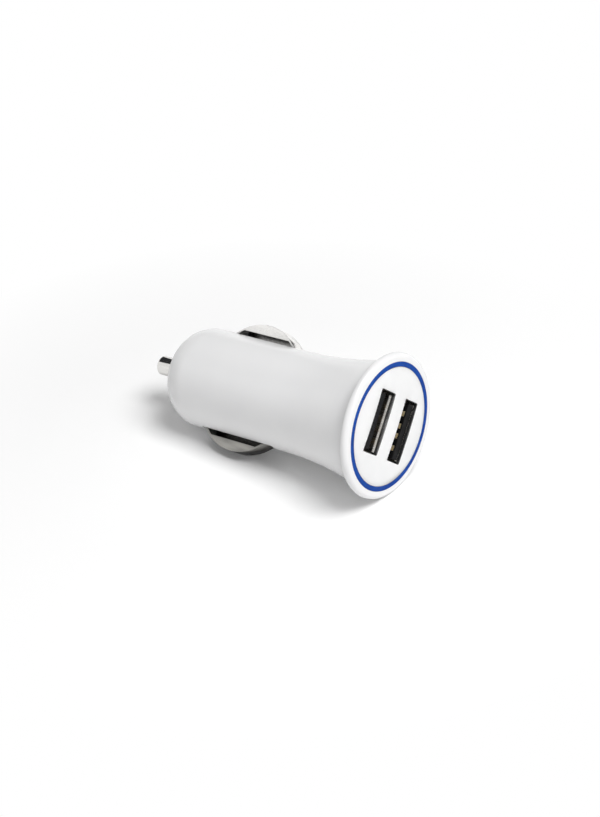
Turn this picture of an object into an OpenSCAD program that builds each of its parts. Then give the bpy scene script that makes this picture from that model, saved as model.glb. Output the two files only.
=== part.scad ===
// Twin-socket USB charger for a car's lighter socket, lying on its side as it comes to rest.
// Each piece is drawn in the plug's own frame and then laid down by as_it_lies(): there X runs along
// the plug from the tip (negative) to the face (zero), and Z points to the upper side contact.

/* [Housing] */
// Radius of the barrel that goes into the lighter socket
barrel_r = 10.2; // [10:0.1:10.6]
// Distance from the face to the end of the nose, without the tip
housing_l = 51; // [50:0.5:54]
// Radius of the rounded nose
nose_round = 7; // [6:0.5:7.5]
// Distance from the face to where the flare leaves the barrel
flare_l = 22; // [21:0.5:23]
// Radius of the outer corner of the rim
rim_r = 14.3; // [14:0.1:14.8]
// Radius of the long gentle part of the flare
flare_gentle_r = 78; // [70:1:90]
// Rounding of the rim's front edge
rim_round = 0.9; // [0.6:0.1:1.1]
// Thickness of the moulded wall
wall_t = 1.5; // [1.4:0.1:1.7]

/* [Face] */
// Outer radius of the blue light ring
ring_r = 12.85; // [12.7:0.05:12.9]
// Width of the blue light ring as seen from the front
ring_w = 1; // [0.8:0.05:1.1]
// Depth of the light ring behind the face
ring_depth = 1.6; // [1.4:0.1:1.8]
// Thickness of the plate at its edge
plate_t = 3; // [2.6:0.1:3.2]
// Height of the plate's gentle dome at its middle
plate_dome = 0.5; // [0.3:0.1:0.6]

/* [USB sockets] */
// Distance between the middles of the two sockets
socket_pitch = 8.9; // [8.8:0.1:9.2]
// Length of each opening in the plate
opening_l = 12.5; // [12.4:0.1:12.6]
// Width of each opening in the plate
opening_w = 4.9; // [4.8:0.1:5.1]
// Inner length of a socket's metal shell
shell_in_l = 12.6; // [12.5:0.05:12.7]
// Inner width of a socket's metal shell
shell_in_w = 5.12; // [5.1:0.02:5.2]
// Sheet thickness of a socket's metal shell
shell_t = 0.3; // [0.25:0.05:0.35]
// Depth of a socket's metal shell
shell_depth = 13.8; // [13:0.2:14]
// Distance from the face to the front edge of the shells
shell_recess = 0.55; // [0.5:0.05:0.8]
// Angle at which the lips of a shell's mouth flare out
shell_flare = 25; // [15:1:30]
// Distance from the face to the front end of the tongues
tongue_recess = 0.2; // [0.15:0.05:0.6]
// Length of the plastic tongue in front of its block
tongue_l = 8.8; // [8:0.2:9.4]
// Width of the tongue
tongue_w = 11.1; // [11:0.1:11.3]
// Thickness of the tongue
tongue_t = 1.84; // [1.8:0.02:1.9]
// Gap between the tongue and the shell wall behind it
tongue_gap = 0.64; // [0.6:0.02:0.7]
// Width of each spring contact
blade_w = 1; // [0.9:0.05:1.2]
// How far each spring contact arches out of the tongue
blade_arch = 0.35; // [0.2:0.05:0.45]

/* [Side contacts] */
// Distance from the plug's axis to the crown of a side contact
crown_r = 13.1; // [12.8:0.1:13.3]
// Distance from the end of the nose to the crown of a side contact
crown_back = 18; // [17:0.5:19]
// Width of a side contact
contact_w = 3.8; // [3.4:0.1:4]
// Sheet thickness of a side contact
contact_t = 0.35; // [0.3:0.05:0.4]
// Bending radius of the crown
crown_bend = 10; // [9.5:0.5:11]
// Depth of the flange along a side contact's near edge, below the crown
flange_depth = 2.1; // [1.8:0.1:2.3]
// Depth of the flange along its other edge, which reaches into the slot
deep_flange_depth = 3.3; // [3:0.1:3.4]
// How far the crown is pressed in by the lighter socket
contact_travel = 2.4; // [2:0.1:2.5]

/* [Tip] */
// Radius of the tip pin
pin_r = 2; // [1.8:0.05:2.1]
// How far the pin stands out of the nose
pin_out = 6.3; // [6:0.1:6.6]
// Radius of the flange that keeps the pin in
pin_flange_r = 3; // [2.8:0.1:3.2]
// How far the pin can be pushed in
pin_travel = 2.2; // [2:0.1:2.5]
// Running clearance of the pin in the nose
pin_clearance = 0.08; // [0.06:0.01:0.1]
// Wire thickness of the tip spring
wire_d = 0.45; // [0.4:0.05:0.5]
// Turns of the tip spring
spring_turns = 5; // [4:1:6]

/* [Board] */
// Thickness of the circuit board
board_t = 1.6; // [1.4:0.1:1.6]
// Width of the drum inductor
drum_d = 8; // [7.6:0.2:8.2]
// Height of the drum inductor
drum_h = 5; // [4.6:0.2:5.4]
// Diameter of the input capacitor
input_cap_d = 6.3; // [6:0.1:6.3]
// Diameter of the output capacitor
output_cap_d = 5; // [4.5:0.1:5]

/* [Hidden] */
$fn = 96;

// Small clearances and overlaps used when pieces are cut or fitted
fit = 0.05;
cut = 1;
join = 0.2;

// Flare: a gentle arc from the barrel, then a tight curl out to the rim
rim_back = 1;
curl_x = 5.2;
gentle_angle = asin((flare_l - curl_x) / flare_gentle_r);
curl_start_r = barrel_r + flare_gentle_r * (1 - cos(gentle_angle));
curl_dx = curl_x - rim_back;
curl_dr = rim_r - curl_start_r;
curl_chord_angle = atan2(curl_dr, curl_dx);
curl_turn = 2 * (curl_chord_angle - gentle_angle);
curl_r = norm([curl_dx, curl_dr]) / (2 * sin(curl_turn / 2));
arc_steps = 12;
function gentle_arc() = [
    for (i = [0:arc_steps])
        let (a = gentle_angle * i / arc_steps)
        [-flare_l + flare_gentle_r * sin(a), barrel_r + flare_gentle_r * (1 - cos(a))]
];
function curl_arc() = [
    for (i = [1:arc_steps])
        let (a = gentle_angle + curl_turn * i / arc_steps)
        [
            -curl_x + curl_r * (sin(a) - sin(gentle_angle)),
            curl_start_r + curl_r * (cos(gentle_angle) - cos(a))
        ]
];
rim_edge_angle = gentle_angle + curl_turn;
rim_round_x = -rim_round;
rim_round_c = rim_r - rim_round * cos(rim_edge_angle) - (rim_back - rim_round) * tan(rim_edge_angle) / 2;
function rim_arc() = [
    for (i = [0:arc_steps])
        let (a = 90 + rim_edge_angle - (90 + rim_edge_angle) * i / arc_steps)
        [rim_round_x + rim_round * cos(a), rim_round_c + rim_round * sin(a)]
];

// Nose: a quarter round that ends in a small flat around the tip
nose_x = housing_l - nose_round;
nose_c = barrel_r - nose_round;
nose_steps = 18;
function nose_arc(round_r) = [
    for (i = [0:nose_steps])
        let (a = 90 * i / nose_steps)
        [-nose_x - round_r * cos(a), nose_c + round_r * sin(a)]
];

// Board: its head fills the flare, and its tail leaves room for the side contacts
crown_x = housing_l - crown_back;
bore_r = barrel_r - wall_t;
leg_r = bore_r - 0.8;
head_gap = 0.7;
tail_gap = 1.2;
board_head_half = bore_r - head_gap;
board_tail_half = leg_r - contact_travel - tail_gap;
board_front_x = 3.9;
head_end_x = 20;
board_half_t = board_t / 2;
rail_grip = 0.9;

// Rest: the rim and the round of the nose both touch the ground
rest_dx = nose_x - rim_round;
rest_dr = rim_round_c - nose_c;
tilt = asin((rim_round - nose_round) / norm([rest_dx, rest_dr])) + atan2(rest_dr, rest_dx);
lift = rim_round + rim_round_c * cos(tilt) + rim_round * sin(tilt);
ground_gap = 0.03;
crown_ground = (lift - crown_x * sin(tilt)) / cos(tilt) - ground_gap;
crown_edge = norm([crown_r, contact_w / 2]);
roll = acos(crown_ground / crown_edge) + atan2(contact_w / 2, crown_r);
front_x = rim_round_x * cos(tilt) + rim_round_c * sin(tilt) + rim_round;
back_x = -(housing_l + pin_out) * cos(tilt) - pin_r * sin(tilt);
shift = -(front_x + back_x) / 2;

// Face plate and its seat
plate_bore_r = ring_r - ring_w;
plate_r = plate_bore_r - fit;
dome_r = (plate_r * plate_r + plate_dome * plate_dome) / (2 * plate_dome);

// Side contacts: the crown, two ramps and the leg that is soldered to the board
ramp_angle = 38;
tail_angle = 45;
tail_l = 1.2;
heel_bend = 1.2;
leg_l = 2;
foot_l = 1.2;
foot_w = 1.6;
crown_mid = crown_r - contact_t / 2;
ramp_l = (crown_mid - leg_r - (crown_bend + heel_bend) * (1 - cos(ramp_angle))) / sin(ramp_angle);
tail_drop = crown_bend * (1 - cos(tail_angle)) + tail_l * sin(tail_angle);
heel_x = -crown_x + crown_bend * sin(ramp_angle) + ramp_l * cos(ramp_angle) + heel_bend * sin(ramp_angle);
leg_end_x = heel_x + leg_l;
tail_x = -crown_x - crown_bend * sin(tail_angle) - tail_l * cos(tail_angle);
slot_clearance = 0.35;
slot_w = contact_w + 2 * slot_clearance;
slot_front = -crown_x + crown_bend * sin(ramp_angle) + ramp_l * cos(ramp_angle);
slot_back = tail_x - slot_clearance;
bend_steps = 7;

// Tip: pin, flange, stem and spring between the nose and the board
nose_wall = 2.6;
pin_tip_round = 0.5;
pin_flange_t = 1;
pin_stem_r = 1.15;
pin_stem_l = 2;
nose_seat_x = housing_l - nose_wall;
flange_back_x = nose_seat_x - pin_flange_t - fit;
seat_t = 0.4;
clip_l = 2.6;
clip_half_w = 1;
spring_r = 1.75;
spring_pressed_l = 4.1;
spring_front_x = flange_back_x - pin_travel - spring_pressed_l;
spring_gap = 0.04;
board_end_x = spring_front_x - seat_t - fit;

// What stands on the board, from the sockets back to its tapered end
taper_l = 3;
taper_half = 2.4;
lift_off = 0.05;
part_gap = 1.6;
socket_back_x = shell_recess + shell_depth;
drum_x = board_end_x - taper_l - drum_d / 2;
lead_d = 0.5;
lead_out = 1;
cap_x = socket_back_x + part_gap + lead_out + fit;
input_cap_l = drum_x - drum_d / 2 - part_gap - cap_x;
output_cap_x = cap_x + lead_out;
output_cap_l = 4.6;
chip_x = drum_x - 2.6;
chip_l = 5;
chip_w = 3.9;
chip_h = 1.5;
chip_foot = 0.15;
lead_w = 0.42;
lead_pitch = 1.27;
lead_t = 0.2;
lead_reach = 1;
rectifier_l = 4.3;
rectifier_w = 2.6;
rectifier_h = 2.1;
rectifier_x = output_cap_x + output_cap_l + rectifier_w / 2 + 0.5;
resistor_x = chip_x + chip_l / 2 + part_gap + 0.3;
row_pitch = 2.6;

// Sockets
shell_out_l = shell_in_l + 2 * shell_t;
shell_out_w = shell_in_w + 2 * shell_t;
shell_round = 0.6;
lip_depth = 0.5;
lip_bend_x = shell_recess + lip_depth;
lip_out = lip_depth * tan(shell_flare) - shell_t * (1 - cos(shell_flare));
window_l = 3;
window_w = 2;
window_x = 3.6;
window_z = 2;
tab_t = 0.25;
tab_gap = 0.3;
tail_w = 1.2;
tail_set = 3;
pocket_gap = 0.1;
tongue_edge = 0.1;
tongue_back_x = tongue_recess + tongue_l;
block_l = socket_back_x - tongue_back_x - shell_t - 2 * fit;
blade_t = 0.25;
blade_set = 0.35;
blade_tip_x = tongue_recess + blade_set;
arch_start = 5.5;
arch_back = 2.2;
arch_front = 1.6;
blade_places = [-3.5, -1, 1, 3.5];

module as_it_lies() {
    translate([shift, 0, lift])
        rotate([0, -tilt, 0])
        rotate([-roll, 0, 0])
        children();
}

// A profile of [x, radius] points turned about the plug's axis
module turned() {
    rotate([0, 90, 0])
        rotate_extrude()
        rotate([0, 0, 90])
        children();
}

// A box from its lower to its upper corner
module block(low, high) {
    translate(low) cube(high - low);
}

module rounded_slab(length, width, height, radius) {
    linear_extrude(height)
        union() {
            square([length - 2 * radius, width], center = true);
            square([length, width - 2 * radius], center = true);
            for (sx = [-1, 1], sy = [-1, 1])
                translate([sx * (length / 2 - radius), sy * (width / 2 - radius)])
                circle(radius, $fn = 32);
        }
}

// A slab across the plug's axis, long in Z and narrow in Y, from x_back to x_front
module across(x_back, x_front, length, width, radius) {
    translate([x_back, 0, 0])
        rotate([0, 90, 0])
        rounded_slab(length, width, x_front - x_back, radius);
}

module outer_profile() {
    polygon(concat(
        [[-housing_l, 0]],
        nose_arc(nose_round),
        gentle_arc(),
        curl_arc(),
        rim_arc(),
        [[0, 0]]
    ));
}

// The hollow follows the outer form one wall inside it
module hollow_profile() {
    inner_nose = nose_round - wall_t;
    polygon(concat(
        [[-nose_x - inner_nose, 0]],
        nose_arc(inner_nose),
        [for (p = gentle_arc()) p - [0, wall_t]],
        [
            [-plate_t, curl_start_r - wall_t],
            [-plate_t, plate_bore_r],
            [-ring_depth, plate_bore_r],
            [-ring_depth, ring_r],
            [cut, ring_r],
            [cut, 0],
        ]
    ));
}

module side_slots() {
    for (side = [-1, 1])
        scale([1, 1, side])
        block([slot_back, -slot_w / 2, bore_r - cut], [slot_front, slot_w / 2, crown_r]);
}

// Rails in the moulding that the long edges of the board slide between
module board_rails() {
    rail_w = 1;
    rail_front = board_front_x + rail_w;
    rail_back = head_end_x - rail_w;
    for (side = [-1, 1], face = [-1, 1])
        scale([1, face, side])
        block(
            [-rail_back, board_half_t + fit, board_head_half - rail_grip],
            [-rail_front, board_half_t + fit + rail_w, barrel_r + wall_t]
        );
}

// Relief in the wall for the outer corners of the two sockets
module socket_pockets() {
    for (side = [-1, 1])
        translate([0, side * socket_pitch / 2, 0])
        across(
            -socket_back_x - pocket_gap, -plate_t,
            shell_out_l + 2 * pocket_gap, shell_out_w + 2 * pocket_gap, shell_round + pocket_gap
        );
}

module housing() {
    color("white")
        as_it_lies()
        difference() {
            union() {
                difference() {
                    turned() outer_profile();
                    turned() hollow_profile();
                }
                intersection() {
                    turned() outer_profile();
                    union() {
                        board_rails();
                        rotate([0, -90, 0])
                            translate([0, 0, nose_seat_x])
                            cylinder(r = pin_flange_r + wall_t, h = nose_wall);
                    }
                }
            }
            rotate([0, -90, 0])
                cylinder(r = pin_r + pin_clearance, h = housing_l + cut);
            side_slots();
            socket_pockets();
        }
}

module face_plate() {
    color("white")
        as_it_lies()
        difference() {
            turned()
                intersection() {
                    translate([plate_dome - dome_r, 0]) circle(dome_r, $fn = 360);
                    translate([fit - plate_t, 0]) square([plate_t + plate_dome, plate_r]);
                }
            for (side = [-1, 1])
                translate([0, side * socket_pitch / 2, 0]) {
                    across(-plate_t - cut, cut, opening_l, opening_w, 0.3);
                    across(
                        -plate_t - cut, -shell_recess + fit,
                        shell_out_l + 2 * (lip_out + fit), shell_out_w + 2 * (lip_out + fit),
                        shell_round + fit
                    );
                }
        }
}

module light_ring() {
    color([0.05, 0.25, 0.85])
        as_it_lies()
        turned()
        translate([-ring_depth, ring_r - ring_w])
        square([ring_depth, ring_w - fit]);
}

module tip_pin() {
    color("silver")
        as_it_lies()
        turned()
        union() {
            tip_x = housing_l + pin_out;
            translate([-tip_x + pin_tip_round, 0])
                square([tip_x - pin_tip_round - flange_back_x, pin_r]);
            translate([-tip_x, 0]) square([pin_tip_round + join, pin_r - pin_tip_round]);
            intersection() {
                translate([-tip_x + pin_tip_round, pin_r - pin_tip_round])
                    circle(pin_tip_round, $fn = 48);
                translate([-tip_x, 0]) square([pin_tip_round + join, pin_r]);
            }
            translate([-flange_back_x - pin_flange_t, 0]) square([pin_flange_t, pin_flange_r]);
            translate([-flange_back_x, 0]) square([pin_stem_l, pin_stem_r]);
        }
}

// Rings of points around the spring's wire, then a closed skin over them
module coil(mean_r, wire_r, length, turns) {
    sides = 8;
    per_turn = 16;
    flat_turns = 0.75;
    rings = turns * per_turn;
    span = length - 2 * wire_r;
    function rise(i) =
        let (t = i / per_turn, open = turns - 2 * flat_turns, lead = 2 * wire_r * 1.05)
        t < flat_turns ? t * lead
        : t > turns - flat_turns ? span - (turns - t) * lead
        : flat_turns * lead + (t - flat_turns) * (span - 2 * flat_turns * lead) / open;
    points = [
        for (i = [0:rings], j = [0:sides - 1])
            let (turn = 360 * i / per_turn, around = 360 * j / sides, r = mean_r + wire_r * cos(around))
            [r * cos(turn), r * sin(turn), wire_r + rise(i) + wire_r * sin(around)]
    ];
    skin = [
        for (i = [0:rings - 1], j = [0:sides - 1])
            let (k = (j + 1) % sides)
            [i * sides + j, i * sides + k, (i + 1) * sides + k, (i + 1) * sides + j]
    ];
    first_cap = [for (j = [sides - 1:-1:0]) j];
    last_cap = [for (j = [0:sides - 1]) rings * sides + j];
    polyhedron(points, concat(skin, [first_cap, last_cap]), convexity = 10);
}

module tip_spring() {
    color("silver")
        as_it_lies()
        rotate([0, -90, 0])
        translate([0, 0, spring_front_x + spring_gap])
        coil(
            spring_r, wire_d / 2,
            flange_back_x - spring_front_x - 2 * spring_gap, spring_turns
        );
}

// Tinned cup soldered to the end of the board, which the spring presses on
module spring_seat() {
    seat_r = spring_r + wire_d;
    color("silver")
        as_it_lies() {
            rotate([0, -90, 0])
                translate([0, 0, board_end_x])
                cylinder(r = seat_r, h = seat_t);
            for (face = [-1, 1])
                scale([1, face, 1])
                block(
                    [-board_end_x - join, board_half_t, -clip_half_w],
                    [-board_end_x + clip_l, board_half_t + seat_t, clip_half_w]
                );
        }
}

// Middle line of a side contact, from the tail over the crown to the leg
function crown_line() = concat(
    [[tail_x, crown_mid - tail_drop, tail_angle]],
    [
        for (i = [0:2 * bend_steps])
            let (a = tail_angle - (tail_angle + ramp_angle) * i / (2 * bend_steps))
            [-crown_x - crown_bend * sin(a), crown_mid - crown_bend * (1 - cos(a)), a]
    ],
    [
        for (i = [0:bend_steps])
            let (a = -ramp_angle + ramp_angle * i / bend_steps)
            [heel_x + heel_bend * sin(a), leg_r + heel_bend * (1 - cos(a)), a]
    ],
    [[leg_end_x, leg_r, 0]]
);
function beside(line, side) = [
    for (p = line) [p[0] - side * sin(p[2]), p[1] + side * cos(p[2])]
];
function reversed(line) = [for (i = [len(line) - 1:-1:0]) line[i]];

module contact_strip() {
    line = crown_line();
    polygon(concat(beside(line, contact_t / 2), reversed(beside(line, -contact_t / 2))));
}

// A flange keeps the strip's outline down to a straight rim
module contact_flange(depth) {
    intersection() {
        polygon(beside(crown_line(), contact_t / 2));
        translate([-housing_l, crown_r - depth]) square([housing_l, depth + cut]);
    }
}

// Leg, and the foot that is soldered to one face of the board
module side_contact() {
    rotate([90, 0, 0])
        translate([0, 0, -contact_w / 2])
        linear_extrude(contact_w)
        contact_strip();
    for (edge = [[-contact_w / 2 + contact_t, flange_depth], [contact_w / 2, deep_flange_depth]])
        translate([0, edge[0], 0])
        rotate([90, 0, 0])
        linear_extrude(contact_t)
        contact_flange(edge[1]);
    block(
        [leg_end_x - foot_l, board_half_t + fit, board_tail_half - foot_w],
        [leg_end_x, board_half_t + fit + contact_t, leg_r]
    );
}

module upper_side_contact() {
    color("silver")
        as_it_lies()
        side_contact();
}

module lower_side_contact() {
    color("silver")
        as_it_lies()
        mirror([0, 0, 1])
        side_contact();
}

module main_board() {
    hole_r = 0.5;
    color([0.05, 0.4, 0.2])
        as_it_lies()
        rotate([90, 0, 0])
        translate([0, 0, -board_half_t])
        linear_extrude(board_t)
        difference() {
            polygon([
                [-board_end_x, -taper_half],
                [-board_end_x + taper_l, -board_tail_half],
                [-head_end_x, -board_tail_half],
                [-head_end_x, -board_head_half],
                [-board_front_x, -board_head_half],
                [-board_front_x, board_head_half],
                [-head_end_x, board_head_half],
                [-head_end_x, board_tail_half],
                [-board_end_x + taper_l, board_tail_half],
                [-board_end_x, taper_half],
            ]);
            for (side = [-1, 1])
                translate([-rectifier_x, side * (board_tail_half - 2 * hole_r)]) circle(hole_r);
        }
}

// A lip that flares out along +Y from the bend at the end of a shell wall
module shell_lip(length) {
    rotate([0, 0, shell_flare])
        block([0, 0, -length / 2], [lip_depth / cos(shell_flare), shell_t, length / 2]);
}

module shell_lips() {
    for (side = [-1, 1]) {
        scale([1, side, 1])
            translate([-lip_bend_x, shell_in_w / 2, 0])
            shell_lip(shell_in_l - 2 * shell_round);
        scale([1, 1, side])
            translate([-lip_bend_x, 0, shell_in_l / 2])
            rotate([90, 0, 0])
            shell_lip(shell_in_w - 2 * shell_round);
    }
}

// A socket drawn about its own middle: its board side faces +Y
module socket_shell() {
    tail_l = socket_pitch / 2 - shell_out_w / 2 - board_half_t;
    difference() {
        across(-socket_back_x, -lip_bend_x, shell_out_l, shell_out_w, shell_round);
        across(-socket_back_x + shell_t, cut, shell_in_l, shell_in_w, shell_round - shell_t);
        for (place = [-1, 1], face = [-1, 1])
            scale([1, face, place])
            block(
                [-window_x - window_l, shell_in_w / 2 - cut, window_z],
                [-window_x, shell_out_w / 2 + cut, window_z + window_w]
            );
    }
    shell_lips();
    // Spring tabs inside the windows, rooted at the window's back edge
    for (place = [-1, 1], face = [-1, 1])
        scale([1, face, place])
        block(
            [-window_x - window_l - join, shell_in_w / 2, window_z + tab_gap],
            [-window_x - tab_gap, shell_in_w / 2 + tab_t, window_z + window_w - tab_gap]
        );
    // Two tails that stand on the board
    for (place = [-1, 1])
        translate([0, 0, place * (shell_out_l / 2 - shell_t / 2 - shell_round)])
        block(
            [-socket_back_x + tail_set, shell_out_w / 2 - shell_t, -shell_t / 2],
            [-socket_back_x + tail_set + tail_w, shell_out_w / 2 + tail_l, shell_t / 2]
        );
}

module socket_tongue() {
    tongue_y = -shell_in_w / 2 + tongue_gap;
    groove_t = blade_t + fit;
    difference() {
        union() {
            translate([0, tongue_y, -tongue_w / 2])
                linear_extrude(tongue_w)
                polygon([
                    [-tongue_back_x - join, 0],
                    [-tongue_recess - tongue_edge, 0],
                    [-tongue_recess, tongue_edge],
                    [-tongue_recess, tongue_t - tongue_edge],
                    [-tongue_recess - tongue_edge, tongue_t],
                    [-tongue_back_x - join, tongue_t],
                ]);
            across(
                -socket_back_x + shell_t + fit, -socket_back_x + shell_t + fit + block_l,
                shell_in_l - 2 * fit, shell_in_w - 2 * fit, shell_round - shell_t
            );
        }
        for (place = blade_places)
            translate([0, 0, place])
            block(
                [-socket_back_x - cut, tongue_y + tongue_t - groove_t, -blade_w / 2 - fit],
                [-blade_tip_x + fit, tongue_y + tongue_t + fit, blade_w / 2 + fit]
            );
    }
}

// Each spring contact lies in its groove and arches out of it near the tip
module socket_blades() {
    blade_y = -shell_in_w / 2 + tongue_gap + tongue_t - blade_t;
    path = [
        [-socket_back_x + shell_t + fit, 0],
        [-blade_tip_x - arch_start, 0],
        [-blade_tip_x - arch_back, blade_arch],
        [-blade_tip_x - arch_front, blade_arch],
        [-blade_tip_x, 0],
    ];
    for (place = blade_places)
        translate([0, blade_y, place - blade_w / 2])
        linear_extrude(blade_w)
        polygon(concat(
            path,
            [for (i = [len(path) - 1:-1:0]) path[i] + [0, blade_t]]
        ));
}

// The socket on the -Y side of the board, and its mirror image on the other side
module near_socket() {
    translate([0, -socket_pitch / 2, 0]) children();
}

module far_socket() {
    mirror([0, 1, 0]) near_socket() children();
}

module near_socket_shell() {
    color("silver") as_it_lies() near_socket() socket_shell();
}

module near_socket_tongue() {
    color([0.08, 0.08, 0.08]) as_it_lies() near_socket() socket_tongue();
}

module near_socket_blades() {
    color("gold") as_it_lies() near_socket() socket_blades();
}

module far_socket_shell() {
    color("silver") as_it_lies() far_socket() socket_shell();
}

module far_socket_tongue() {
    color([0.08, 0.08, 0.08]) as_it_lies() far_socket() socket_tongue();
}

module far_socket_blades() {
    color("gold") as_it_lies() far_socket() socket_blades();
}

drum_cheek = 1;
drum_neck_r = drum_d / 2 - 1.6;
module inductor_core() {
    color([0.2, 0.2, 0.22])
        as_it_lies()
        translate([-drum_x, -board_half_t - lift_off, 0])
        rotate([90, 0, 0]) {
            cylinder(d = drum_d, h = drum_cheek);
            cylinder(r = drum_neck_r, h = drum_h);
            translate([0, 0, drum_h - drum_cheek]) cylinder(d = drum_d, h = drum_cheek);
        }
}

// Two layers of enamelled wire wound between the cheeks of the drum
module inductor_winding() {
    coil_wire = 0.6;
    rows = floor((drum_h - 2 * drum_cheek - 2 * fit) / coil_wire);
    inner_r = drum_neck_r + fit;
    color([0.72, 0.35, 0.15])
        as_it_lies()
        translate([-drum_x, -board_half_t - lift_off - drum_h / 2, 0])
        rotate([90, 0, 0])
        rotate_extrude()
        union() {
            translate([inner_r, -rows * coil_wire / 2])
                square([1.5 * coil_wire, rows * coil_wire]);
            for (row = [0:rows - 1])
                translate([inner_r + 1.5 * coil_wire, (row + 0.5 - rows / 2) * coil_wire])
                circle(d = coil_wire, $fn = 24);
        }
}

// A can with a crimped groove near its rubber end, lying along the board
module can(diameter, length) {
    round_r = 0.3;
    groove_r = 0.3;
    groove_x = 1.4;
    rotate([0, -90, 0])
        rotate_extrude()
        difference() {
            union() {
                translate([0, round_r]) square([diameter / 2, length - 2 * round_r]);
                square([diameter / 2 - round_r, length]);
                for (end = [round_r, length - round_r])
                    translate([diameter / 2 - round_r, end]) circle(round_r, $fn = 32);
            }
            translate([diameter / 2 + groove_r / 3, groove_x]) circle(groove_r, $fn = 32);
        }
}

module can_leads(centre_h, spread) {
    for (side = [-1, 1])
        translate([0, 0, side * spread / 2]) {
            rotate([0, 90, 0])
                translate([0, 0, -join])
                cylinder(d = lead_d, h = lead_out + join, $fn = 24);
            translate([lead_out, 0, 0]) {
                rotate([-90, 0, 0]) cylinder(d = lead_d, h = centre_h, $fn = 24);
                sphere(d = lead_d, $fn = 24);
            }
        }
}

module input_capacitor() {
    centre_h = input_cap_d / 2 + lift_off;
    color([0.12, 0.14, 0.2])
        as_it_lies()
        translate([-cap_x, -board_half_t - centre_h, 0]) {
            can(input_cap_d, input_cap_l);
            can_leads(centre_h, 2.5);
        }
}

module output_capacitor() {
    centre_h = output_cap_d / 2 + lift_off;
    color([0.12, 0.14, 0.2])
        as_it_lies()
        mirror([0, 1, 0])
        translate([-output_cap_x, -board_half_t - centre_h, 0]) {
            can(output_cap_d, output_cap_l);
            can_leads(centre_h, 2);
        }
}

module converter_chip() {
    color([0.1, 0.1, 0.1])
        as_it_lies()
        block(
            [-chip_x - chip_l / 2, board_half_t + chip_foot, -chip_w / 2],
            [-chip_x + chip_l / 2, board_half_t + chip_foot + chip_h, chip_w / 2]
        );
}

module chip_leads() {
    knee = chip_foot + chip_h / 2;
    color("silver")
        as_it_lies()
        for (side = [-1, 1], pin = [-1.5:1:1.5])
            translate([-chip_x + pin * lead_pitch, board_half_t, side * chip_w / 2])
            scale([1, 1, side])
            rotate([0, -90, 0])
            translate([0, 0, -lead_w / 2])
            linear_extrude(lead_w)
            polygon([
                [0, knee - lead_t / 2],
                [lead_reach / 2 - lead_t, knee - lead_t / 2],
                [lead_reach / 2 - lead_t, 0],
                [lead_reach, 0],
                [lead_reach, lead_t],
                [lead_reach / 2, lead_t],
                [lead_reach / 2, knee + lead_t / 2],
                [0, knee + lead_t / 2],
            ]);
}

module rectifier() {
    color([0.12, 0.12, 0.12])
        as_it_lies()
        block(
            [-rectifier_x - rectifier_w / 2, board_half_t + lead_t, -rectifier_l / 2],
            [-rectifier_x + rectifier_w / 2, board_half_t + lead_t + rectifier_h, rectifier_l / 2]
        );
}

module rectifier_tabs() {
    tab_w = 1.4;
    color("silver")
        as_it_lies()
        for (side = [-1, 1])
            scale([1, 1, side]) {
                block(
                    [-rectifier_x - tab_w / 2, board_half_t, rectifier_l / 2 - 1],
                    [-rectifier_x + tab_w / 2, board_half_t + lead_t, rectifier_l / 2 + lead_t]
                );
                block(
                    [-rectifier_x - tab_w / 2, board_half_t, rectifier_l / 2],
                    [-rectifier_x + tab_w / 2, board_half_t + rectifier_h / 2, rectifier_l / 2 + lead_t]
                );
            }
}

// A small lamp on each face of the board's front corners, shining into the light ring
module ring_lamps() {
    lamp_l = 1.6;
    lamp_w = 0.8;
    lamp_h = 0.7;
    lamp_end = board_head_half - rail_grip;
    color([0.9, 0.93, 1])
        as_it_lies()
        for (side = [-1, 1], face = [-1, 1])
            scale([1, face, side])
            block(
                [-board_front_x - lamp_w, board_half_t, lamp_end - lamp_l],
                [-board_front_x, board_half_t + lamp_h, lamp_end]
            );
}

// Small parts with plated ends, given as [x, z] places on the far face of the board
module chip_parts(places, size) {
    for (place = places)
        translate([-place[0], board_half_t, place[1]])
        block([-size[0] / 2, 0, -size[2] / 2], [size[0] / 2, size[1], size[2] / 2]);
}

module chip_resistors() {
    color([0.15, 0.15, 0.15])
        as_it_lies()
        chip_parts(
            [
                [resistor_x, -row_pitch],
                [resistor_x, 0],
                [resistor_x, row_pitch],
                [chip_x - chip_l / 2 - 1, -board_tail_half + 1.2],
            ],
            [0.8, 0.5, 1.6]
        );
}

module chip_capacitors() {
    color([0.75, 0.6, 0.4])
        as_it_lies()
        chip_parts(
            [
                [resistor_x + 1.35, -row_pitch / 2],
                [resistor_x + 1.35, row_pitch / 2],
                [chip_x - chip_l / 2 - 1, board_tail_half - 1.2],
            ],
            [1.25, 1, 2]
        );
}

housing();
face_plate();
light_ring();
tip_pin();
tip_spring();
spring_seat();
upper_side_contact();
lower_side_contact();
main_board();
near_socket_shell();
near_socket_tongue();
near_socket_blades();
far_socket_shell();
far_socket_tongue();
far_socket_blades();
inductor_core();
inductor_winding();
input_capacitor();
output_capacitor();
converter_chip();
chip_leads();
rectifier();
rectifier_tabs();
ring_lamps();
chip_resistors();
chip_capacitors();
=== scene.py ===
import math

import bpy
from mathutils import Matrix, Vector


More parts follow.
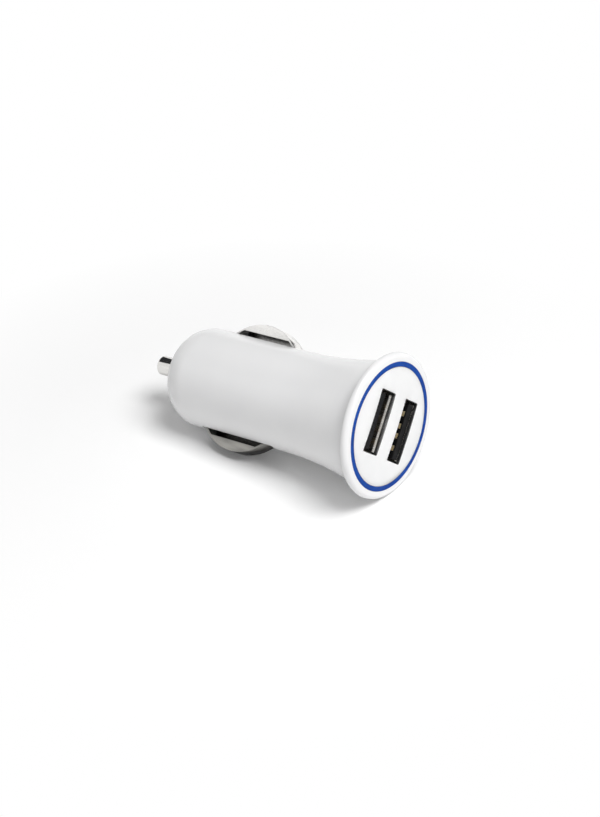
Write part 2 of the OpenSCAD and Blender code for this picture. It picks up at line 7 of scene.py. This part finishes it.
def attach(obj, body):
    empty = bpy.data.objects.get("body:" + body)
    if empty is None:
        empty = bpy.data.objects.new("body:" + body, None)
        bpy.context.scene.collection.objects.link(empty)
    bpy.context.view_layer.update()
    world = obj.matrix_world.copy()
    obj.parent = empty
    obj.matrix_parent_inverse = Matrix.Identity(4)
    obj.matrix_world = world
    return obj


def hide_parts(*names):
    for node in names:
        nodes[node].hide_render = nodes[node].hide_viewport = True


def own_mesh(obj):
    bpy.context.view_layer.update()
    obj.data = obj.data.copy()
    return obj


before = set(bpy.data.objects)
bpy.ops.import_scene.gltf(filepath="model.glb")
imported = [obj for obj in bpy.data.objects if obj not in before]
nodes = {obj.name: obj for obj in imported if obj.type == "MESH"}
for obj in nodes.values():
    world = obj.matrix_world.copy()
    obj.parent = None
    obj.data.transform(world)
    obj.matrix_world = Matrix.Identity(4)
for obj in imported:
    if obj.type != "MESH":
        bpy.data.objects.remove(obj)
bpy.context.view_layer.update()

# The plug's lie: metres, +X towards the face, +Z up, FACE in the middle of the face plane
TILT = math.radians(5.66764)
ROLL = math.radians(39.6729)
FACE = Vector((0.0279346, 0.0, 0.0145297))
LAY = (
    Matrix.Translation(FACE)
    @ Matrix.Rotation(-TILT, 4, "Y")
    @ Matrix.Rotation(-ROLL, 4, "X")
)

# A camera fitted to the light ring, the two openings and the outline
VIEW_FROM = Vector((0.476, -0.692, 0.543)).normalized()
VIEW_DISTANCE = 0.4
SENSOR_MM = 36
LONG_SIDE_PX = 817
FOCAL_PX = 2083.3
SHIFT_PX = (-89.92, 18.33)

# The share of a noise's range that colours, roughness and ramps are spread over
NOISE_LOW = 0.35
NOISE_HIGH = 0.65

# Edge rounding and smooth shading
WELD_DISTANCE = 0.000002
BEVEL_ANGLE = math.radians(40)
SMOOTH_ANGLE = math.radians(32)

# Floor and light: the floor fades to pure white between these distances from the plug's middle
FADE_START = 0.05
FADE_END = 0.09
FLOOR_GLOW = 0.075
SKY_STRENGTH = 0.29
LAMP_TARGET = Vector((0, 0, 0.01))


def make_camera():
    cam = bpy.data.objects.new("camera", bpy.data.cameras.new("camera"))
    bpy.context.collection.objects.link(cam)
    cam.data.sensor_width = SENSOR_MM
    cam.data.lens = FOCAL_PX * SENSOR_MM / LONG_SIDE_PX
    cam.data.shift_x = SHIFT_PX[0] / LONG_SIDE_PX
    cam.data.shift_y = SHIFT_PX[1] / LONG_SIDE_PX
    cam.data.clip_start = 0.01
    cam.location = FACE + VIEW_FROM * VIEW_DISTANCE
    cam.rotation_euler = VIEW_FROM.to_track_quat("Z", "Y").to_euler()
    bpy.context.scene.camera = cam


def new_material(name):
    mat = bpy.data.materials.new(name)
    mat.use_nodes = True
    tree = mat.node_tree
    shader = tree.nodes["Principled BSDF"]
    return mat, tree, shader


def add(tree, kind, **values):
    """Adds a node with its settings and unlinked inputs."""
    node = tree.nodes.new(kind)
    for key, value in values.items():
        if hasattr(node, key):
            setattr(node, key, value)
        else:
            node.inputs[key].default_value = value
    return node


def noise(tree, scale, detail, stretch=(1, 1, 1)):
    """Object-space noise, with scale in features per metre."""
    place = add(tree, "ShaderNodeTexCoord")
    mapping = add(tree, "ShaderNodeMapping")
    mapping.inputs["Scale"].default_value = stretch
    tree.links.new(place.outputs["Object"], mapping.inputs["Vector"])
    tex = add(tree, "ShaderNodeTexNoise")
    tex.inputs["Scale"].default_value = scale
    tex.inputs["Detail"].default_value = detail
    tree.links.new(mapping.outputs["Vector"], tex.inputs["Vector"])
    return tex.outputs["Fac"]


def spread(tree, fac, low, high, at_low=NOISE_LOW, at_high=NOISE_HIGH):
    """Maps a factor onto a range of values."""
    node = add(tree, "ShaderNodeMapRange")
    node.inputs["From Min"].default_value = at_low
    node.inputs["From Max"].default_value = at_high
    node.inputs["To Min"].default_value = low
    node.inputs["To Max"].default_value = high
    tree.links.new(fac, node.inputs["Value"])
    return node.outputs["Result"]


def between(tree, fac, first, second):
    """Runs from the first colour to the second as a factor grows."""
    ramp = add(tree, "ShaderNodeValToRGB")
    start, end = ramp.color_ramp.elements
    start.position = NOISE_LOW
    start.color = (*first, 1)
    end.position = NOISE_HIGH
    end.color = (*second, 1)
    tree.links.new(fac, ramp.inputs["Fac"])
    return ramp.outputs["Color"]


def relief(tree, shader, height, strength, distance):
    bump = add(tree, "ShaderNodeBump")
    bump.inputs["Strength"].default_value = strength
    bump.inputs["Distance"].default_value = distance
    tree.links.new(height, bump.inputs["Height"])
    tree.links.new(bump.outputs["Normal"], shader.inputs["Normal"])


def surface(
    name, first, second, rough, *, scale, fine,
    stretch=(1, 1, 1), bump=(0.1, 0.00002), **sockets,
):
    """A material whose colour varies at one scale, and its roughness and relief at a finer one."""
    mat, tree, shader = new_material(name)
    cloud = noise(tree, scale, 3, stretch)
    grain = noise(tree, fine, 2, stretch)
    tree.links.new(between(tree, cloud, first, second), shader.inputs["Base Color"])
    tree.links.new(spread(tree, grain, *rough), shader.inputs["Roughness"])
    relief(tree, shader, grain, *bump)
    for key, value in sockets.items():
        shader.inputs[key.replace("_", " ")].default_value = value
    return mat


def paint_crevice_shade(mat, reach, closed, full, least):
    """Paints shade into a material's colour: dims it, down to its least share, where little of the
    sky is open to it.
    """
    tree = mat.node_tree
    socket = tree.nodes["Principled BSDF"].inputs["Base Color"]
    shut = add(tree, "ShaderNodeAmbientOcclusion", samples=12)
    shut.inputs["Distance"].default_value = reach
    level = add(tree, "ShaderNodeMapRange")
    level.inputs["From Min"].default_value = closed
    level.inputs["From Max"].default_value = full
    level.inputs["To Min"].default_value = least
    tree.links.new(shut.outputs["AO"], level.inputs["Value"])
    dim = add(tree, "ShaderNodeVectorMath", operation="SCALE")
    tree.links.new(socket.links[0].from_socket, dim.inputs[0])
    tree.links.new(level.outputs["Result"], dim.inputs["Scale"])
    tree.links.new(dim.outputs["Vector"], socket)


WHITE_SHELL = surface(
    "white_shell", (0.83, 0.83, 0.835), (0.85, 0.85, 0.852), (0.2, 0.24),
    scale=90, fine=700, bump=(0.02, 0.00001),
)
WHITE_PLATE = surface(
    "white_plate", (0.84, 0.84, 0.84), (0.87, 0.87, 0.868), (0.32, 0.42),
    scale=200, fine=9000, bump=(0.12, 0.00001), Subsurface_Weight=0.8, Subsurface_Scale=0.0012,
    Subsurface_Radius=(1, 1, 1),
)
BLUE_GUIDE = surface(
    "blue_guide", (0.0, 0.042, 0.27), (0.001, 0.062, 0.36), (0.3, 0.4),
    scale=500, fine=3000, Specular_IOR_Level=0.08,
)
# Painted light: the two side contacts get a lit and a shaded copy of one nickel, the upper one
# painted lighter for the light on top
NICKEL = surface(
    "nickel", (0.92, 0.91, 0.89), (0.97, 0.96, 0.94), (0.22, 0.28),
    scale=900, stretch=(0.15, 1, 1), fine=9000, bump=(0.03, 0.000004), Metallic=1.0,
)
# Painted shade: the lower contact's copy of the nickel is painted darker, for the body's shadow it
# lies in
SHADED_NICKEL = surface(
    "shaded_nickel", (0.27, 0.265, 0.25), (0.38, 0.37, 0.345), (0.3, 0.38),
    scale=900, stretch=(0.15, 1, 1), fine=9000, bump=(0.03, 0.000004), Metallic=1.0,
)
PIN_NICKEL = surface(
    "pin_nickel", (0.70, 0.69, 0.67), (0.77, 0.76, 0.74), (0.08, 0.15),
    scale=900, stretch=(0.15, 1, 1), fine=9000, bump=(0.05, 0.000004), Metallic=1.0,
)
SPRING_STEEL = surface(
    "spring_steel", (0.42, 0.42, 0.41), (0.55, 0.54, 0.53), (0.25, 0.4),
    scale=2500, fine=9000, Metallic=1.0,
)
SOCKET_STEEL = surface(
    "socket_steel", (0.70, 0.67, 0.62), (0.84, 0.82, 0.78), (0.2, 0.34),
    scale=700, fine=7000, bump=(0.15, 0.00001), Metallic=1.0,
)
BLACK_TONGUE = surface(
    "black_tongue", (0.004, 0.004, 0.0045), (0.009, 0.009, 0.009), (0.4, 0.55),
    scale=900, fine=12000, bump=(0.2, 0.00001), Specular_IOR_Level=0.08,
)
GOLD_BLADE = surface(
    "gold_blade", (0.78, 0.64, 0.38), (0.92, 0.80, 0.54), (0.2, 0.35),
    scale=1500, fine=9000, Metallic=1.0,
)
GREEN_BOARD = surface(
    "green_board", (0.006, 0.075, 0.028), (0.015, 0.12, 0.05), (0.25, 0.4),
    scale=700, fine=6000, Coat_Weight=0.3,
)
FERRITE = surface(
    "ferrite", (0.035, 0.035, 0.037), (0.07, 0.068, 0.066), (0.55, 0.75),
    scale=2000, fine=9000, bump=(0.3, 0.00002),
)
COPPER_WIRE = surface(
    "copper_wire", (0.42, 0.12, 0.035), (0.58, 0.20, 0.07), (0.2, 0.32),
    scale=1500, fine=6000, Metallic=0.85, Coat_Weight=0.6,
)
CAN_SLEEVE = surface(
    "can_sleeve", (0.008, 0.010, 0.022), (0.016, 0.02, 0.04), (0.22, 0.34),
    scale=800, fine=5000,
)
BLACK_EPOXY = surface(
    "black_epoxy", (0.010, 0.010, 0.010), (0.022, 0.022, 0.022), (0.5, 0.65),
    scale=1500, fine=14000, bump=(0.3, 0.00001),
)
TINNED = surface(
    "tinned", (0.60, 0.60, 0.60), (0.74, 0.74, 0.73), (0.25, 0.42),
    scale=1800, fine=7000, Metallic=1.0,
)
LAMP_WHITE = surface(
    "lamp_white", (0.70, 0.72, 0.74), (0.82, 0.83, 0.80), (0.3, 0.45),
    scale=1800, fine=7000,
)
TAN_CERAMIC = surface(
    "tan_ceramic", (0.36, 0.22, 0.12), (0.48, 0.32, 0.19), (0.4, 0.55),
    scale=2200, fine=9000,
)

# Painted shade: the colour of narrow gaps and of the walls of the openings is dimmed to near black
# where little of the sky reaches them
paint_crevice_shade(WHITE_PLATE, 0.006, 0.62, 0.82, 0.04)
paint_crevice_shade(NICKEL, 0.006, 0.6, 0.85, 0.3)
paint_crevice_shade(SHADED_NICKEL, 0.006, 0.5, 0.75, 0.05)

FINISH = {
    "housing": WHITE_SHELL,
    "face_plate": WHITE_PLATE,
    "light_ring": BLUE_GUIDE,
    "tip_pin": PIN_NICKEL,
    "tip_spring": SPRING_STEEL,
    "spring_seat": TINNED,
    "upper_side_contact": NICKEL,
    "lower_side_contact": SHADED_NICKEL,
    "main_board": GREEN_BOARD,
    "near_socket_shell": SOCKET_STEEL,
    "far_socket_shell": SOCKET_STEEL,
    "near_socket_tongue": BLACK_TONGUE,
    "far_socket_tongue": BLACK_TONGUE,
    "near_socket_blades": GOLD_BLADE,
    "far_socket_blades": GOLD_BLADE,
    "inductor_core": FERRITE,
    "inductor_winding": COPPER_WIRE,
    "input_capacitor": CAN_SLEEVE,
    "output_capacitor": CAN_SLEEVE,
    "converter_chip": BLACK_EPOXY,
    "chip_leads": TINNED,
    "rectifier": BLACK_EPOXY,
    "rectifier_tabs": TINNED,
    "ring_lamps": LAMP_WHITE,
    "chip_resistors": BLACK_EPOXY,
    "chip_capacitors": TAN_CERAMIC,
}


def dress():
    """Gives each CAD node its material."""
    for name, mat in FINISH.items():
        obj = nodes[name]
        obj.data.materials.clear()
        obj.data.materials.append(mat)


def smooth_group():
    """Smooth shading with sharp edges only above an angle."""
    group = bpy.data.node_groups.new("smooth", "GeometryNodeTree")
    group.interface.new_socket("Geometry", in_out="INPUT", socket_type="NodeSocketGeometry")
    group.interface.new_socket("Geometry", in_out="OUTPUT", socket_type="NodeSocketGeometry")
    entry = group.nodes.new("NodeGroupInput")
    out = group.nodes.new("NodeGroupOutput")
    faces = group.nodes.new("GeometryNodeSetShadeSmooth")
    faces.domain = "FACE"
    edges = group.nodes.new("GeometryNodeSetShadeSmooth")
    edges.domain = "EDGE"
    edges.inputs["Shade Smooth"].default_value = False
    fold = group.nodes.new("GeometryNodeInputMeshEdgeAngle")
    sharp = group.nodes.new("FunctionNodeCompare")
    sharp.operation = "GREATER_THAN"
    sharp.inputs[1].default_value = SMOOTH_ANGLE
    group.links.new(fold.outputs["Unsigned Angle"], sharp.inputs[0])
    group.links.new(sharp.outputs[0], edges.inputs["Selection"])
    group.links.new(entry.outputs[0], faces.inputs["Geometry"])
    group.links.new(faces.outputs[0], edges.inputs["Geometry"])
    group.links.new(edges.outputs[0], out.inputs[0])
    return group


SMOOTH = smooth_group()


def soften(name, width, segments=2):
    """Rounds a CAD node's sharp edges without touching its own mesh."""
    obj = nodes[name]
    weld = obj.modifiers.new("weld", "WELD")
    weld.merge_threshold = WELD_DISTANCE
    bevel = obj.modifiers.new("edges", "BEVEL")
    bevel.width = width
    bevel.segments = segments
    bevel.limit_method = "ANGLE"
    bevel.angle_limit = BEVEL_ANGLE
    bevel.harden_normals = False
    smooth = obj.modifiers.new("smooth", "NODES")
    smooth.node_group = SMOOTH


def coil_points(start, end, radius, wire):
    """Middle line of a coil along X with three quarters of a closed turn at each end."""
    turns = 6.5
    steps = 40
    closed = 0.75
    closed_pitch = 1.05 * wire
    rise = closed_pitch / (end - start)
    count = int(turns * steps)
    points = []
    for i in range(count + 1):
        turn = i / steps
        if turn < closed:
            share = turn * rise
        elif turn > turns - closed:
            share = 1 - (turns - turn) * rise
        else:
            open_share = (turn - closed) / (turns - 2 * closed)
            share = closed * rise + open_share * (1 - 2 * closed * rise)
        angle = 2 * math.pi * turn
        points.append(Vector((
            start + share * (end - start),
            radius * math.cos(angle),
            radius * math.sin(angle),
        )))
    return points


def wire_mesh(name, points, radius):
    """Round wire along a line of points, capped at both ends."""
    sides = 12
    verts = []
    faces = []
    for i, point in enumerate(points):
        along = points[min(i + 1, len(points) - 1)] - points[max(i - 1, 0)]
        along.normalize()
        out = Vector((0, point.y, point.z)).normalized()
        third = along.cross(out).normalized()
        out = third.cross(along)
        for k in range(sides):
            angle = 2 * math.pi * k / sides
            verts.append(point + radius * (math.cos(angle) * out + math.sin(angle) * third))
    for i in range(len(points) - 1):
        for k in range(sides):
            following = (k + 1) % sides
            a, b = i * sides + k, i * sides + following
            faces.append((a, b, b + sides, a + sides))
    faces.append(tuple(reversed(range(sides))))
    faces.append(tuple(range(len(verts) - sides, len(verts))))
    mesh = bpy.data.meshes.new(name)
    mesh.from_pydata(verts, [], faces)
    for polygon in mesh.polygons:
        polygon.use_smooth = len(polygon.vertices) == 4
    mesh.update()
    return mesh


def make_spring():
    """The tip spring in round wire, where the CAD's coil is, fixed to the plug's body."""
    wire = 0.00045
    lie = LAY.inverted()
    solid = [lie @ vertex.co for vertex in nodes["tip_spring"].data.vertices]
    back = min(point.x for point in solid)
    front = max(point.x for point in solid)
    outer = max(math.hypot(point.y, point.z) for point in solid)
    line = coil_points(back + wire / 2, front - wire / 2, outer - wire / 2, wire)
    mesh = wire_mesh("spring_wire", line, wire / 2)
    mesh.transform(LAY)
    mesh.materials.append(SPRING_STEEL)
    spring = bpy.data.objects.new("spring_wire", mesh)
    bpy.context.collection.objects.link(spring)
    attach(spring, "plug")
    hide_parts("tip_spring")
    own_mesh(spring)


def largest(tree, *factors):
    """The largest of several factors."""
    top = factors[0]
    for factor in factors[1:]:
        node = add(tree, "ShaderNodeMath", operation="MAXIMUM")
        tree.links.new(top, node.inputs[0])
        tree.links.new(factor, node.inputs[1])
        top = node.outputs[0]
    return top


def mirror_rays(tree):
    """One for the rays that metal and clear plastic send out."""
    rays = add(tree, "ShaderNodeLightPath").outputs
    return largest(tree, rays["Is Glossy Ray"], rays["Is Transmission Ray"])


def background_rays(tree):
    """One for all the rays that show the background itself."""
    rays = add(tree, "ShaderNodeLightPath").outputs
    return largest(tree, rays["Is Camera Ray"], mirror_rays(tree))


def make_floor():
    """A pale floor that keeps the plug's shadow and fades to the white of the background."""
    bpy.ops.mesh.primitive_plane_add(size=6, location=(0, 0, 0))
    floor = bpy.context.object
    floor.name = "floor"
    mat, tree, shader = new_material("floor")
    cloud = noise(tree, 3, 2)
    tree.links.new(
        between(tree, cloud, (0.90, 0.90, 0.90), (0.91, 0.91, 0.91)),
        shader.inputs["Base Color"],
    )
    shader.inputs["Roughness"].default_value = 0.6
    shader.inputs["Specular IOR Level"].default_value = 0.2
    lit = add(tree, "ShaderNodeMath", operation="MULTIPLY")
    lit.inputs[1].default_value = FLOOR_GLOW
    tree.links.new(background_rays(tree), lit.inputs[0])
    shader.inputs["Emission Color"].default_value = (1, 1, 1, 1)
    tree.links.new(lit.outputs[0], shader.inputs["Emission Strength"])
    place = add(tree, "ShaderNodeTexCoord")
    away = add(tree, "ShaderNodeVectorMath", operation="LENGTH")
    tree.links.new(place.outputs["Object"], away.inputs[0])
    fade = add(tree, "ShaderNodeMath", operation="MULTIPLY")
    distance = spread(tree, away.outputs["Value"], 0, 1, FADE_START, FADE_END)
    tree.links.new(distance, fade.inputs[0])
    tree.links.new(background_rays(tree), fade.inputs[1])
    blank = add(tree, "ShaderNodeEmission")
    mix = add(tree, "ShaderNodeMixShader")
    tree.links.new(fade.outputs[0], mix.inputs[0])
    tree.links.new(shader.outputs[0], mix.inputs[1])
    tree.links.new(blank.outputs[0], mix.inputs[2])
    tree.links.new(mix.outputs[0], tree.nodes["Material Output"].inputs["Surface"])
    floor.data.materials.append(mat)


def backdrop(tree, strength):
    """A white background of some strength."""
    node = add(tree, "ShaderNodeBackground")
    node.inputs["Color"].default_value = (1, 1, 1, 1)
    node.inputs["Strength"].default_value = strength
    return node


def choose(tree, fac, first, second):
    """The second shader where the factor is one."""
    mix = add(tree, "ShaderNodeMixShader")
    tree.links.new(fac, mix.inputs[0])
    tree.links.new(first.outputs[0], mix.inputs[1])
    tree.links.new(second.outputs[0], mix.inputs[2])
    return mix


def make_world():
    """White to look at, dimmer as a source of light, and dark high up where metal mirrors it."""
    world = bpy.data.worlds.new("world")
    bpy.context.scene.world = world
    world.use_nodes = True
    tree = world.node_tree
    sky = tree.nodes["Background"]
    sky.inputs["Color"].default_value = (1, 1, 1, 1)
    sky.inputs["Strength"].default_value = SKY_STRENGTH
    mirrored = backdrop(tree, 1.0)
    place = add(tree, "ShaderNodeTexCoord")
    lean = add(tree, "ShaderNodeVectorMath", operation="DOT_PRODUCT")
    lean.inputs[1].default_value = (0.0, 0.3, 1.0)
    tree.links.new(place.outputs["Generated"], lean.inputs[0])
    height = add(tree, "ShaderNodeMapRange")
    height.inputs["From Min"].default_value = 0.44
    height.inputs["From Max"].default_value = 0.54
    height.inputs["To Min"].default_value = 1.0
    height.inputs["To Max"].default_value = 0.0
    tree.links.new(lean.outputs["Value"], height.inputs["Value"])
    shade = between(tree, height.outputs["Result"], (0.03, 0.03, 0.033), (1, 1, 1))
    tree.links.new(shade, mirrored.inputs["Color"])
    camera = add(tree, "ShaderNodeLightPath").outputs["Is Camera Ray"]
    lit = choose(tree, mirror_rays(tree), sky, mirrored)
    shown = choose(tree, camera, lit, backdrop(tree, 1.0))
    tree.links.new(shown.outputs[0], tree.nodes["World Output"].inputs["Surface"])


def add_light(name, place, size, power):
    """A rectangular lamp that points at the plug."""
    light = bpy.data.lights.new(name, "AREA")
    light.shape = "RECTANGLE"
    light.size, light.size_y = size
    light.energy = power
    obj = bpy.data.objects.new(name, light)
    bpy.context.collection.objects.link(obj)
    obj.location = place
    aim = LAMP_TARGET - Vector(place)
    obj.rotation_euler = aim.to_track_quat("-Z", "Y").to_euler()


def make_lights():
    add_light("key", (0.42, -0.03, 0.82), (0.5, 0.5), 7.5)
    add_light("front", (0.85, 0.05, 0.25), (0.5, 0.5), 0.3)
    add_light("side", (0.35, -0.9, 0.12), (0.5, 0.4), 0.4)


make_camera()
dress()
soften("face_plate", 0.00015)
soften("tip_pin", 0.0001)
soften("upper_side_contact", 0.00005, segments=1)
soften("lower_side_contact", 0.00005, segments=1)
make_spring()
make_floor()
make_world()
make_lights()
bpy.context.scene.view_settings.view_transform = "Standard"
